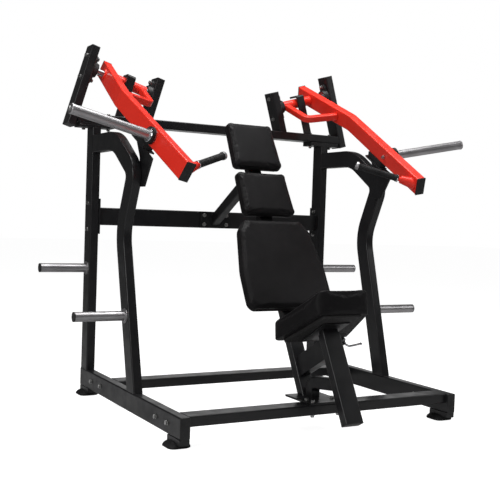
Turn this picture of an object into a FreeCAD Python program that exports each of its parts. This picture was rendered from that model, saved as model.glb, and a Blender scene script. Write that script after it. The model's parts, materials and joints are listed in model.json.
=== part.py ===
"""Plate-loaded chest press machine: welded tube frame, two swinging press arms, padded seat.

The origin is on the ground under the middle of the machine. +X is the user's left-to-right
axis, -Y is the front, +Z is up. The machine is mirror-symmetric about X = 0.
"""
import FreeCAD, Part
import math
import os
import re
import Sketcher
from FreeCAD import Placement, Rotation, Vector

# Driving dimensions, millimetres and degrees.
DIMS = {
    # rectangular steel tube used all over the frame
    "tube_width": 50, "tube_depth": 100, "tube_wall": 3.5, "tube_corner": 7,
    "plate": 12, "bolt_radius": 6, "bolt_hole": 6.5,
    # base
    "half_inner": 748, "rail_front": -626, "rail_rear": 749, "rail_top": 148,
    "foot_size": 114, "foot_height": 21, "foot_front": -539, "foot_rear": 701,
    "leg_block_length": 135, "cap_plate": 5,
    # upright frame
    "rear_post_y": 699, "post_top": 1522, "bar_bottom": 1546, "mid_bar_low": 972,
    "front_bar_y": -559, "rear_bar_y": 326, "flange_plate": 8, "flange_height": 200,
    # swing axis: it leans by swing_tilt, and crosses each outer bearing post's face here
    "swing_tilt": 16.5, "pivot_x": 797.8, "pivot_y": 703, "pivot_z": 1854.4,
    "inner_face": -374, "shaft_radius": 17.5, "running_gap": 0.05,
    "housing_length": 160, "housing_width": 93, "bolt_spread": 64,
    "outer_post_low": -344, "outer_post_high": 118, "inner_post_high": 95,
    "sleeve_radius": 30, "sleeve_inner_end": -340, "sleeve_outer_end": -73,
    # press arm
    "arm_width": 50, "arm_depth": 98, "arm_wall": 4, "arm_offset": -105, "arm_bend_radius": 160,
    "arm_rake": 26, "horn_radius": 25, "horn_length": 458, "horn_wall": 3,
    "handle_bar_radius": 12.5, "grip_radius": 18, "grip_length": 232,
    # storage pegs
    "peg_length": 272, "peg_front_y": 74, "peg_front_z": 522, "peg_rear_y": 694, "peg_rear_z": 726,
    # back rest and seat share one recline
    "recline": 29, "back_y": -277, "back_z": 583, "pad_thick": 46, "board_thick": 12,
    "back_tube_width": 80, "back_tube_depth": 50, "back_tube_top": 1090,
    "seat_post_front": -257, "seat_post_low": -687, "seat_post_high": -236,
    "column_gap": 1.0, "column_wall": 3, "pin_radius": 6,
}

doc = FreeCAD.newDocument("chest_press_machine")
sheet = doc.addObject("Spreadsheet::Sheet", "dims")
for row, (alias, value) in enumerate(DIMS.items(), start=1):
    sheet.set(f"A{row}", alias)
    sheet.set(f"B{row}", str(value))
    sheet.setAlias(f"B{row}", alias)
doc.recompute()
D = DIMS
NODES = {}          # node name -> document object

X_AXIS, Y_AXIS, Z_AXIS = Vector(1, 0, 0), Vector(0, 1, 0), Vector(0, 0, 1)
HERE = Placement()


# ---------------------------------------------------------------- helpers

def qualified(formula):
    """Point every dimension name in a formula at its cell."""
    return re.sub(r"[a-z_]+", lambda m: "dims." + m[0] if m[0] in DIMS else m[0], str(formula))


def bind(item, **formulas):
    for prop, formula in formulas.items():
        item.setExpression(prop, qualified(formula))
    return item


def node(name, item):
    item.Label = name
    NODES[name] = item
    return item


def at(x=0, y=0, z=0, axis=Z_AXIS, angle=0):
    return Placement(Vector(x, y, z), Rotation(axis, angle))


def block(name, length, width, height, place=HERE):
    """A box centred on its own X and Y, standing on its own Z = 0."""
    box = bind(doc.addObject("Part::Box", name), Length=length, Width=width, Height=height)
    doc.recompute([box])
    box.Placement = place * at(-box.Length.Value / 2, -box.Width.Value / 2, 0)
    return box


def rod(name, radius, height, place=HERE):
    cylinder = bind(doc.addObject("Part::Cylinder", name), Radius=radius, Height=height)
    cylinder.Placement = place
    return cylinder


def fused(name, *parts):
    fuse = doc.addObject("Part::MultiFuse", name)
    fuse.Shapes = list(parts)
    fuse.Refine = True
    return fuse


def grouped(name, parts):
    group = doc.addObject("Part::Compound", name)
    group.Links = list(parts)
    return group


def cut(name, base, *tools):
    result = doc.addObject("Part::Cut", name)
    result.Base = base
    result.Tool = tools[0] if len(tools) == 1 else grouped(name + "_tools", tools)
    return result


def mirrored(name, source):
    """The same piece on the other side of the machine."""
    copy = doc.addObject("Part::Mirroring", name)
    copy.Source = source
    copy.Normal = X_AXIS
    return copy


def origin_plane(body, role):
    return next(f for f in body.Origin.OriginFeatures if f.Role == role)


def new_sketch(body, name, role="XY_Plane"):
    sketch = body.newObject("Sketcher::SketchObject", name)
    sketch.AttachmentSupport = [(origin_plane(body, role), "")]
    sketch.MapMode = "FlatFace"
    return sketch


def add_rectangle(sketch, tag, width, depth):
    """A rectangle centred on the sketch origin, its sides bound to formulas."""
    first = sketch.GeometryCount
    corners = [Vector(-20, -30, 0), Vector(20, -30, 0), Vector(20, 30, 0), Vector(-20, 30, 0)]
    for start, end in zip(corners, corners[1:] + corners[:1]):
        sketch.addGeometry(Part.LineSegment(start, end), False)
    for side in range(4):
        sketch.addConstraint(Sketcher.Constraint("Coincident", first + side, 2,
                                                 first + (side + 1) % 4, 1))
    for side, kind in enumerate(("Horizontal", "Vertical", "Horizontal", "Vertical")):
        sketch.addConstraint(Sketcher.Constraint(kind, first + side))
    sketch.addConstraint(Sketcher.Constraint("Symmetric", first, 1, first + 2, 1, -1, 1))
    for label, side, kind, formula in ((tag + "_width", 0, "DistanceX", width),
                                       (tag + "_depth", 1, "DistanceY", depth)):
        index = sketch.addConstraint(Sketcher.Constraint(kind, first + side, 1, first + side, 2,
                                                         40 if kind == "DistanceX" else 60))
        sketch.renameConstraint(index, label)
        sketch.setExpression("Constraints." + label, qualified(formula))


def box_tube(name, width, depth, length, wall="tube_wall", place=HERE):
    """Rectangular hollow section along its own Z, with rounded outer corners."""
    body = doc.addObject("PartDesign::Body", name)
    sketch = new_sketch(body, name + "_section")
    add_rectangle(sketch, "outer", width, depth)
    add_rectangle(sketch, "inner", f"{width} - 2 * {wall}", f"{depth} - 2 * {wall}")
    pad = body.newObject("PartDesign::Pad", name + "_run")
    pad.Profile = sketch
    bind(pad, Length=length)
    doc.recompute()
    reach = pad.Shape.BoundBox.XMax - 0.01
    corners = [f"Edge{i}" for i, edge in enumerate(pad.Shape.Edges, start=1)
               if abs(edge.Vertexes[0].Z - edge.Vertexes[-1].Z) > 1
               and abs(edge.Vertexes[0].X) > reach]
    fillet = body.newObject("PartDesign::Fillet", name + "_corners")
    fillet.Base = (pad, corners)
    bind(fillet, Radius="tube_corner")
    body.Placement = place
    return body


def padded_outline(name, role, corners, length, place=HERE, midplane=True, radii=None):
    """A straight-sided outline with optional arcs at its corners, padded to a length."""
    body = doc.addObject("PartDesign::Body", name)
    sketch = new_sketch(body, name + "_outline", role)
    wire = rounded_loop(corners, radii or [0] * len(corners))
    for edge in wire.Edges:
        curve = edge.Curve
        if isinstance(curve, Part.Circle):
            first, last = edge.ParameterRange
            sketch.addGeometry(Part.ArcOfCircle(curve, first, last), False)
        else:
            sketch.addGeometry(Part.LineSegment(edge.Vertexes[0].Point, edge.Vertexes[-1].Point), False)
    pad = body.newObject("PartDesign::Pad", name + "_pad")
    pad.Profile = sketch
    pad.Midplane = midplane
    bind(pad, Length=length)
    body.Placement = place
    return body


def corner_arc(before, corner, after, radius):
    """End points and middle point of the arc that rounds one corner."""
    inward = (before - corner).normalize()
    outward = (after - corner).normalize()
    half = inward.getAngle(outward) / 2
    middle = (inward + outward).normalize()
    centre = corner + middle * (radius / math.sin(half))
    setback = radius / math.tan(half)
    return corner + inward * setback, centre - middle * radius, corner + outward * setback


def rounded_loop(corners, radii):
    """Closed wire in the XY plane with a radius at each corner."""
    points = [Vector(x, y, 0) for x, y in corners]
    count = len(points)
    arcs = [corner_arc(points[i - 1], points[i], points[(i + 1) % count], radii[i]) if radii[i]
            else (points[i], points[i], points[i]) for i in range(count)]
    edges = []
    for i, (start, middle, end) in enumerate(arcs):
        if radii[i]:
            edges.append(Part.Arc(start, middle, end).toShape())
        following = arcs[(i + 1) % count][0]
        if end.distanceToPoint(following) > 1e-6:
            edges.append(Part.LineSegment(end, following).toShape())
    return Part.Wire(edges)


def route_wire(points, radii):
    """Open path: straight runs joined by tangent arcs."""
    edges = []
    start = points[0]
    for before, corner, after, radius in zip(points, points[1:], points[2:], radii):
        first, middle, last = corner_arc(before, corner, after, radius)
        edges.append(Part.LineSegment(start, first).toShape())
        edges.append(Part.Arc(first, middle, last).toShape())
        start = last
    edges.append(Part.LineSegment(start, points[-1]).toShape())
    return Part.Wire(edges)


def swept_shape(points, radii, across, width, depth, corner):
    """A rounded rectangle carried along a flat path; across is the width's direction at the start."""
    direction = (points[1] - points[0]).normalize()
    halves = ((-1, -1), (1, -1), (1, 1), (-1, 1))
    section = rounded_loop([(sx * width / 2, sy * depth / 2) for sx, sy in halves], [corner] * 4)
    section.Placement = Placement(points[0], Rotation(across, direction.cross(across), direction))
    normal = (points[1] - points[0]).cross(points[2] - points[1])
    pipe = Part.BRepOffsetAPI.MakePipeShell(route_wire(points, radii))
    pipe.setBiNormalMode(normal.normalize())
    pipe.add(section)
    pipe.build()
    pipe.makeSolid()
    return pipe.shape()


def bent_tube(name, points, radii, across, width, depth, wall):
    """Bent rectangular hollow section as a plain shape, open at both ends."""
    shape = swept_shape(points, radii, across, width, depth, D["tube_corner"])
    if wall:
        shape = shape.cut(swept_shape(points, radii, across, width - 2 * wall, depth - 2 * wall, 2))
    item = doc.addObject("Part::Feature", name)
    item.Shape = shape
    return item


def bolt(name, grip, place):
    """Hex bolt along its own Z: head above Z = 0, nut below Z = -grip."""
    shank = rod(name + "_shank", "bolt_radius", f"{grip} + 14", place * at(0, 0, -grip - 14))
    pieces = [shank]
    for tag, low in (("head", 2.5), ("nut", -grip - 12.5)):
        washer_low = 0 if tag == "head" else -grip - 2.5
        pieces.append(rod(name + "_washer_" + tag, "bolt_radius * 2", 2.5, place * at(0, 0, washer_low)))
        hexagon = bind(doc.addObject("Part::Prism", name + "_" + tag),
                       Circumradius="bolt_radius * 1.75", Height=8 if tag == "head" else 10)
        hexagon.Polygon = 6
        hexagon.Placement = place * at(0, 0, low)
        pieces.append(hexagon)
    return fused(name, *pieces)


def bolt_holes(name, places, depth):
    return [rod(f"{name}_hole_{i}", "bolt_hole", depth + 40, place * at(0, 0, -depth - 20))
            for i, place in enumerate(places)]


def end_plug(name, width, depth, face):
    """Plastic cap on a tube's open end, its insert inside the tube; own +Z points out of the tube."""
    plate = block(name + "_plate", width, depth, "cap_plate", face)
    rounded = doc.addObject("Part::Fillet", name + "_rounded")
    rounded.Base = plate
    to_face = face.inverse()
    heights = [[to_face.multVec(v.Point).z for v in edge.Vertexes] for edge in plate.Shape.Edges]
    upright = [i for i, ends in enumerate(heights, start=1) if abs(ends[0] - ends[1]) > 1]
    around_top = [i for i, ends in enumerate(heights, start=1) if min(ends) > 1]
    rounded.Edges = [(i, 6, 6) for i in upright] + [(i, 3, 3) for i in around_top]
    insert = block(name + "_insert", f"{width} - 2 * tube_wall - 0.6",
                   f"{depth} - 2 * tube_wall - 0.6", 18, face * at(0, 0, -18))
    return fused(name, rounded, insert)


def both_sides(name, item):
    """Left and right nodes of a piece modelled on the right."""
    node(name + "_right", item)
    node(name + "_left", mirrored(name + "_mirror", item))


def both_in_one(name, items):
    """One node holding the same pieces on both sides."""
    right = items[0] if len(items) == 1 else grouped(name + "_one_side", items)
    node(name, grouped(name, [right, mirrored(name + "_mirror", right)]))


# ---------------------------------------------------------------- local frames

tilt = D["swing_tilt"]
SWING = Placement(Vector(D["pivot_x"], D["pivot_y"], D["pivot_z"]), Rotation(Y_AXIS, -tilt))
BACK = Placement(Vector(0, D["back_y"], D["back_z"]), Rotation(X_AXIS, -D["recline"]))
ALONG_X = Rotation(Y_AXIS, 90)          # own +Z to +X
facing_front = Rotation(X_AXIS, 90)     # own +Z to -Y
# own +Y stays upright, own +Z to +X or to -X
outward_turn = Rotation(Vector(0, 1, 0), Vector(0, 0, 1), Vector(1, 0, 0), "ZXY")
inward_turn = Rotation(Vector(0, -1, 0), Vector(0, 0, 1), Vector(-1, 0, 0), "ZXY")
half = D["half_inner"]
side_middle = half + D["tube_width"] / 2
outer_side = half + D["tube_width"]

bolts = []          # every frame bolt


# ---------------------------------------------------------------- base frame

rail_length = "rail_rear - rail_front"
rail_middle = D["rail_top"] - D["tube_depth"] / 2
lie_back = Rotation(X_AXIS, -90)        # own +Z to +Y
rail = box_tube("rail_blank", "tube_width", "tube_depth", rail_length,
                place=Placement(Vector(side_middle, D["rail_front"], rail_middle), lie_back))
bar_axis_z = D["rail_top"] - D["tube_width"] / 2
rail_bolt_places = [Placement(Vector(outer_side, y, rail_middle), ALONG_X)
                    for y in (-488, -355, 411, 560)]
both_sides("base_rail", cut("rail_drilled", rail,
                            *bolt_holes("rail", rail_bolt_places, D["tube_width"])))

end_caps = [end_plug(f"rail_plug_{tag}", "tube_width", "tube_depth",
                     Placement(Vector(side_middle, y, rail_middle), Rotation(X_AXIS, turn)))
            for tag, y, turn in (("front", D["rail_front"], 90), ("rear", D["rail_rear"], -90))]

legs, feet = [], []
leg_middle = {"front": D["rail_front"] + D["leg_block_length"] / 2,
              "rear": D["rail_rear"] - D["leg_block_length"] / 2}
for tag, foot_y in (("front", D["foot_front"]), ("rear", D["foot_rear"])):
    legs.append(block(f"leg_{tag}", "tube_width", "leg_block_length",
                      "rail_top - tube_depth - foot_height",
                      at(side_middle, leg_middle[tag], D["foot_height"])))
    foot = bind(doc.addObject("Part::Wedge", f"foot_{tag}"), Xmax="foot_size", Zmax="foot_size",
                Ymax="foot_height", X2min=14, Z2min=14, X2max="foot_size - 14",
                Z2max="foot_size - 14")
    foot.Placement = Placement(Vector(side_middle - D["foot_size"] / 2,
                                      foot_y + D["foot_size"] / 2, 0), Rotation(X_AXIS, 90))
    feet.append(foot)
both_in_one("leg_blocks", legs)
both_in_one("rubber_feet", feet)


def crossbar(name, y):
    """Flat-lying bar between the inner faces of the rails."""
    return box_tube(name, "tube_width", "tube_depth", "2 * half_inner",
                    place=Placement(Vector(-half, y, bar_axis_z), ALONG_X))


base_bolt_places = [at(x, D["front_bar_y"] + dy, D["rail_top"] + 10)
                    for x in (-75, 75) for dy in (-28, 28)]
node("front_crossbar", cut("front_bar_drilled", crossbar("front_bar", D["front_bar_y"]),
                           *bolt_holes("base_plate", base_bolt_places, 60)))
node("rear_crossbar", crossbar("rear_bar", D["rear_bar_y"]))
for i, place in enumerate(rail_bolt_places):
    bolts.append(bolt(f"rail_bolt_{i}", D["tube_width"], place))

# ---------------------------------------------------------------- upright frame

flange_places = [Placement(Vector(outer_side, D["rear_post_y"], z), ALONG_X)
                 for z in (D["mid_bar_low"] - 25, D["mid_bar_low"] + D["tube_depth"] + 25)]
rear_post = box_tube("rear_post_blank", "tube_width", "tube_depth", "post_top - rail_top",
                     place=at(side_middle, D["rear_post_y"], D["rail_top"]))
both_sides("rear_post", cut("rear_post_drilled", rear_post,
                            *bolt_holes("flange", flange_places, D["tube_width"])))

# The front post leans back, then forward, then sweeps over to the rear post.
FRONT_POST_ROUTE = [(-24, 148), (196, 951), (56, 1258), (319, 1429), (649, 1429)]
route = [Vector(side_middle, y, z) for y, z in FRONT_POST_ROUTE]
below = route[0] - (route[1] - route[0]) * 0.1
post_long = bent_tube("front_post_long", [below] + route[1:], (250, 80, 275), X_AXIS,
                      D["tube_width"], D["tube_depth"], D["tube_wall"])
below_rail_top = block("front_post_trim", 200, 400, 200, at(side_middle, -24, D["rail_top"] - 200))
both_sides("front_post", cut("front_post", post_long, below_rail_top))

plate_half = 103
lower_plate = block("lower_plate", 2 * plate_half, "tube_depth", "plate",
                    at(side_middle - 2, D["rear_post_y"], D["post_top"]))
upper_plate = block("upper_plate", 2 * plate_half, "tube_depth", "plate",
                    at(side_middle - 2, D["rear_post_y"], D["post_top"] + D["plate"]))
top_of_bar = D["bar_bottom"] + D["tube_width"]
joint_places = [at(x, D["rear_post_y"], top_of_bar) for x in (690, 836)]
joint_depth = D["tube_width"] + 2 * D["plate"]
both_in_one("post_top_plates", [cut("lower_plate_drilled", lower_plate,
                                    *bolt_holes("lower_plate", joint_places, joint_depth))])
both_in_one("top_bar_plates", [cut("upper_plate_drilled", upper_plate,
                                   *bolt_holes("upper_plate", joint_places, joint_depth))])
for i, place in enumerate(joint_places):
    bolts.append(bolt(f"joint_bolt_{i}", joint_depth, place))

top_bar = box_tube("top_bar_blank", "tube_width", "tube_depth", 1820,
                   place=Placement(Vector(-910, D["rear_post_y"], D["bar_bottom"] + 25), ALONG_X))
trim = block("top_bar_trim", 200, 300, 900, SWING * at(100, 0, -500))
node("top_crossbar", cut("top_bar", top_bar, trim, mirrored("top_bar_trim_left", trim),
                         *bolt_holes("top_bar", joint_places, joint_depth),
                         *bolt_holes("top_bar_left",
                                     [at(-p.Base.x, p.Base.y, p.Base.z) for p in joint_places],
                                     joint_depth)))

mid_z = D["mid_bar_low"] + D["tube_depth"] / 2
mid_flange = block("mid_flange", "tube_depth", "flange_height", "flange_plate",
                   Placement(Vector(half - D["flange_plate"], D["rear_post_y"], mid_z), outward_turn))
both_in_one("mid_bar_flanges", [cut("mid_flange_drilled", mid_flange,
                                    *bolt_holes("mid_flange", flange_places, 80))])
for i, place in enumerate(flange_places):
    bolts.append(bolt(f"flange_bolt_{i}", D["tube_width"] + D["flange_plate"], place))
mid_bar = box_tube("mid_bar_blank", "tube_width", "tube_depth", "2 * half_inner - 2 * flange_plate",
                   place=Placement(Vector(-half + D["flange_plate"], D["rear_post_y"], mid_z),
                                   outward_turn))
mid_front = D["rear_post_y"] - D["tube_width"] / 2
brace_places = [Placement(Vector(x, mid_front - D["flange_plate"], mid_z + dz), facing_front)
                for x in (-75, 75) for dz in (-28, 28)]
node("mid_crossbar", cut("mid_bar_drilled", mid_bar, *bolt_holes("mid_bar", brace_places, 60)))

# ---------------------------------------------------------------- bearing posts and bearings

outer_post = box_tube("outer_post_blank", "tube_width", "tube_depth",
                      "outer_post_high - outer_post_low",
                      place=SWING * at(25, 0, D["outer_post_low"]))
outer_bolt_places = [SWING * Placement(Vector(50, 0, dz), ALONG_X)
                     for dz in (-D["bolt_spread"], D["bolt_spread"])]
both_in_one("outer_bearing_posts", [cut("outer_post_drilled", outer_post,
                                        *bolt_holes("outer_post", outer_bolt_places, 80))])

inner_post = box_tube("inner_post_blank", "tube_width", "tube_depth", 420,
                      place=SWING * at(D["inner_face"] - 25, 0, D["inner_post_high"] - 420))
bar_slab = block("inner_post_trim", 600, 300, 200, at(450, D["rear_post_y"], top_of_bar - 200))
inner_bolt_places = [SWING * Placement(Vector(D["inner_face"] - 50, 0, dz), Rotation(Y_AXIS, -90))
                     for dz in (-D["bolt_spread"], D["bolt_spread"])]
both_in_one("inner_bearing_posts", [cut("inner_post_drilled", inner_post, bar_slab,
                                        *bolt_holes("inner_post", inner_bolt_places, 80))])

upside_down = Rotation(X_AXIS, 180)
end_caps += [end_plug(f"post_plug_{tag}", "tube_width", "tube_depth", SWING * Placement(spot, turn))
             for tag, spot, turn in (
                 ("outer_top", Vector(25, 0, D["outer_post_high"]), Rotation()),
                 ("outer_low", Vector(25, 0, D["outer_post_low"]), upside_down),
                 ("inner_top", Vector(D["inner_face"] - 25, 0, D["inner_post_high"]), Rotation()))]


def flange_bearing(tag, face_x, turn):
    """Two-bolt flange housing: oval foot, round boss; its seat faces the swing axis."""
    place = SWING * Placement(Vector(face_x, 0, 0), turn)
    foot = block(f"housing_foot_{tag}", 56, "housing_length - 56", 14, place)
    ends = [rod(f"housing_end_{tag}_{i}", 28, 14, place * at(0, y, 0)) for i, y in
            enumerate((-D["housing_length"] / 2 + 28, D["housing_length"] / 2 - 28))]
    boss = bind(doc.addObject("Part::Cone", f"housing_boss_{tag}"),
                Radius1="housing_width / 2", Radius2="housing_width / 2 - 6", Height=30)
    boss.Placement = place
    body = fused(f"housing_body_{tag}", foot, *ends, boss)
    seat = rod(f"housing_seat_{tag}", 36, 80, place * at(0, 0, -20))
    holes = bolt_holes(f"housing_{tag}", [place * at(0, y, 0) for y in
                                          (-D["bolt_spread"], D["bolt_spread"])], 40)
    housing = cut(f"housing_{tag}", body, seat, *holes)
    ring = cut(f"outer_ring_{tag}", rod(f"outer_ring_body_{tag}", 36, 24, place * at(0, 0, 4)),
               rod(f"outer_ring_bore_{tag}", "shaft_radius + 6 + running_gap", 80,
                   place * at(0, 0, -20)))
    return housing, ring


outer_housing, outer_ring = flange_bearing("outer", 0, inward_turn)
inner_housing, inner_ring = flange_bearing("inner", D["inner_face"], outward_turn)
both_in_one("bearing_housings", [outer_housing, inner_housing])
both_in_one("bearing_rings", [outer_ring, inner_ring])
bearing_bolts = [bolt(f"bearing_bolt_{i}", 64, place)
                 for i, place in enumerate(outer_bolt_places + inner_bolt_places)]
both_in_one("bearing_bolts", bearing_bolts)

# Hook in front of each swing sleeve, its lip bent back over the sleeve.
hook_x = -225
hook_low = -344
hook_outline = [(-52, hook_low), (-40, hook_low), (-40, 36), (34, 36), (34, 48), (-52, 48)]
hook = padded_outline("hook_blank", "YZ_Plane", hook_outline, 50, SWING * at(hook_x, 0, 0),
                      radii=[0, 0, 6, 0, 0, 18])
hook_slab = block("hook_trim", 900, 300, 400, at(700, D["rear_post_y"], top_of_bar - 400))
both_in_one("stop_hooks", [cut("hook_cut", hook, hook_slab)])

# ---------------------------------------------------------------- press arms (right side)

rake = math.radians(D["arm_rake"])
arm_x = D["arm_offset"]
tail = Vector(arm_x, 108, 108 * math.tan(rake))
elbow = Vector(arm_x, -374, -374 * math.tan(rake))
nose = Vector(-271, -1102, -556)
along = (nose - elbow).normalize()
first_run = (elbow - tail).normalize()
bend = Rotation(first_run, along)
outward = bend.multVec(X_AXIS)                  # arm's outer face beyond the elbow
upward = along.cross(outward)


def in_arm(share, side=0.0, up=0.0):
    """A point on the arm beyond the elbow, share of the way to its nose."""
    return elbow + (nose - elbow) * share + outward * side + upward * up


def frame_along(point, direction, across):
    """Placement whose own +Z is direction and own +X lies near across."""
    return SWING * Placement(point, Rotation(across, Vector(), direction, "ZXY"))


sleeve_length = "sleeve_outer_end - sleeve_inner_end"
sleeve_place = SWING * Placement(Vector(D["sleeve_inner_end"], 0, 0), ALONG_X)
sleeve_bore = rod("sleeve_bore", "shaft_radius + 0.02", 400, SWING * Placement(Vector(-400, 0, 0), ALONG_X))
sleeve = cut("sleeve", rod("sleeve_body", "sleeve_radius", sleeve_length, sleeve_place), sleeve_bore)
both_sides("pivot_sleeve", sleeve)

shaft_place = SWING * Placement(Vector(D["inner_face"] + 3, 0, 0), ALONG_X)
shaft = rod("shaft_body", "shaft_radius", "-inner_face - 6", shaft_place)
collars = [rod(f"shaft_ring_{i}", "shaft_radius + 6", 26,
               SWING * Placement(Vector(x, 0, 0), ALONG_X))
           for i, x in enumerate((D["inner_face"] + 3, -29))]
both_sides("pivot_shaft", fused("shaft", shaft, *collars))

arm_blank = bent_tube("arm_blank", [tail, elbow, nose], [D["arm_bend_radius"]], X_AXIS,
                      D["arm_width"], D["arm_depth"], D["arm_wall"])
arm_blank.Placement = SWING
horn_share = 0.562
horn_base = in_arm(horn_share, D["arm_width"] / 2)
horn_place = frame_along(horn_base, outward, along)
sleeve_hole = rod("arm_sleeve_hole", "sleeve_radius + 0.1", 200,
                  SWING * Placement(Vector(arm_x - 100, 0, 0), ALONG_X))
horn_hole = rod("arm_horn_hole", "bolt_hole", 140, horn_place * at(0, 0, -100))
both_sides("arm_beam", cut("arm", arm_blank, sleeve_hole, horn_hole))

# End plugs of the arm.
plug_parts = []
for tag, point, direction, across in (("nose", nose, along, outward),
                                      ("tail", tail, first_run * -1, X_AXIS)):
    face = frame_along(point, direction, across)
    plate = block(f"arm_plug_plate_{tag}", "arm_width", "arm_depth", 6, face * at(0, 0, 0.1))
    insert = block(f"arm_plug_insert_{tag}", "arm_width - 2 * arm_wall - 2.5",
                   "arm_depth - 2 * arm_wall - 2.5", 20.1, face * at(0, 0, -20))
    plug_parts.append(fused(f"arm_plug_{tag}", plate, insert))
both_sides("arm_plugs", grouped("arm_plug_pair", plug_parts))

# Plate horn: tube bolted through the arm from its inner side, with a rubber stop ring.
horn_tube = rod("horn_tube", "horn_radius", "horn_length", horn_place * at(0, 0, 0.1))
horn_flange = rod("horn_flange", "horn_radius + 12", 8, horn_place * at(0, 0, 0.1))
horn_boss = rod("horn_boss", "horn_radius + 3", 22.5, horn_place * at(0, 0, 0.1))
horn_bore = rod("horn_bore", "horn_radius - horn_wall", "horn_length - 12", horn_place * at(0, 0, 9))
horn_bolt = rod("horn_bolt", "bolt_radius", 76, horn_place * at(0, 0, -66))
horn_bolt_head = bind(doc.addObject("Part::Prism", "horn_bolt_head"), Circumradius=11, Height=9)
horn_bolt_head.Polygon = 6
horn_bolt_head.Placement = horn_place * at(0, 0, -D["arm_width"] - 9.2)
horn_body = cut("horn_body", fused("horn_solid", horn_tube, horn_flange, horn_boss), horn_bore)
both_sides("weight_horn", fused("horn", horn_body, horn_bolt, horn_bolt_head))
ring_solid = rod("stop_ring_solid", 44, 14, horn_place * at(0, 0, 8.4))
ring_hole = rod("stop_ring_hole", "horn_radius + 3.3", 60, horn_place * at(0, 0, -10))
both_sides("horn_stop_ring", cut("stop_ring", ring_solid, ring_hole))

# Bent brace from the sleeve's inner end to the arm's inner face.
brace_start = Vector(-318, -24, -12)
brace_corner = Vector(-318, -215, -105)
brace_end = Vector(arm_x - D["arm_width"] / 2 - 0.2, -262, -128)
brace = bent_tube("brace_blank", [brace_start, brace_corner, brace_end], [42], X_AXIS, 36, 40, 3)
brace.Placement = SWING
sleeve_clear = rod("brace_sleeve_clear", "sleeve_radius + 0.1", 400,
                   SWING * Placement(Vector(-400, 0, 0), ALONG_X))
arm_clear = block("brace_arm_clear", 60, 300, 300, SWING * at(-100.1, -262, -300))
both_sides("arm_brace", cut("brace", brace, sleeve_clear, arm_clear))

# Handle: tapered stub welded to the arm's inner face near its nose, with a bar inside the grip.
handle_direction = Vector(-0.732, 0.467, 0.496).normalize()
handle_share = 0.945
handle_base = in_arm(handle_share, -D["arm_width"] / 2)
handle_place = frame_along(handle_base, handle_direction, Z_AXIS)
stub = bind(doc.addObject("Part::Cone", "handle_stub"), Radius1=33, Radius2=21, Height=82)
stub.Placement = handle_place * at(0, 0, -16)
bar = rod("handle_bar", "handle_bar_radius", "grip_length + 80", handle_place)
bar_end = rod("handle_bar_end", "grip_radius + 2", 6, handle_place * at(0, 0, 80 + D["grip_length"]))
arm_side = block("handle_arm_clear", 200, 400, 400,
                 frame_along(in_arm(handle_share, -D["arm_width"] / 2 - 0.1), outward, along))
both_sides("handle", cut("handle_trimmed", fused("handle_solid", stub, bar, bar_end), arm_side))
grip_solid = rod("grip_solid", "grip_radius", "grip_length - 15", handle_place * at(0, 0, 80 + 7))
grip_bore = rod("grip_bore", "handle_bar_radius + 0.1", 400, handle_place)
both_sides("grip", cut("hand_grip", grip_solid, grip_bore))

# ---------------------------------------------------------------- arm rests

rest_share = 0.44
under = in_arm(rest_share, 0, -D["arm_depth"] / 2 - 0.2)
rest_place = frame_along(under, upward, outward)
bumper = block("bumper", 56, 150, 34, rest_place * at(0, 0, -34))
both_in_one("rest_bumpers", [bumper])
saddle = block("saddle", 70, 190, 8, rest_place * at(0, 0, -42.1))
saddle_centre = (rest_place * at(0, 0, -46)).Base
gusset_points = [(63, 1180), (-1, 1180), (-103, 1330), (saddle_centre.y - 60, saddle_centre.z - 30),
                 (saddle_centre.y + 60, saddle_centre.z + 28), (63, 1330)]
gusset = padded_outline("gusset", "YZ_Plane", gusset_points, 10, at(half - 5.1, 0, 0))
above_saddle = block("gusset_trim", 400, 600, 300, rest_place * at(0, 0, -40))
gusset_cut = cut("gusset_trimmed", gusset, above_saddle)
both_in_one("rest_brackets", [cut("rest_bracket_clear", fused("rest_bracket", gusset_cut, saddle),
                                  block("post_clear", 120, 600, 2000,
                                        at(half + 60, 59, 300)))])

# ---------------------------------------------------------------- storage pegs

pegs = []
for tag, y, z in (("front", D["peg_front_y"], D["peg_front_z"]),
                  ("rear", D["peg_rear_y"], D["peg_rear_z"])):
    face = Placement(Vector(outer_side, y, z), ALONG_X)
    shell = cut(f"peg_shell_{tag}", rod(f"peg_{tag}", "horn_radius", "peg_length - 6", face),
                rod(f"peg_bore_{tag}", "horn_radius - horn_wall", "peg_length", face * at(0, 0, 8)))
    pegs.append(fused(f"peg_welded_{tag}", shell, rod(f"peg_flange_{tag}", 38, 6, face)))
    tip = face * at(0, 0, D["peg_length"] - 6)
    end_caps.append(fused(f"cap_{tag}", rod(f"cap_plate_{tag}", "horn_radius", 6, tip),
                          rod(f"cap_insert_{tag}", "horn_radius - horn_wall - 0.2", 16,
                              tip * at(0, 0, -16))))
both_in_one("storage_pegs", pegs)

# ---------------------------------------------------------------- back rest

tube_front = D["pad_thick"] + D["board_thick"]
tube_middle = tube_front + D["back_tube_depth"] / 2
plate_top = D["rail_top"] + 10
back_tube = box_tube("back_tube_blank", "back_tube_width", "back_tube_depth", 1600,
                     place=BACK * at(0, tube_middle, D["back_tube_top"] - 1600))
below_plate = block("back_tube_trim", 400, 900, 400, at(0, -491, plate_top - 400))
node("backrest_tube", cut("back_tube", back_tube, below_plate))

base_plate = block("base_plate_blank", 200, 236, 10, at(0, D["front_bar_y"] - 50 + 118, D["rail_top"]))
node("base_plate", cut("base_plate_drilled", base_plate,
                       *bolt_holes("base_plate_plate", base_bolt_places, 60)))

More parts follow.
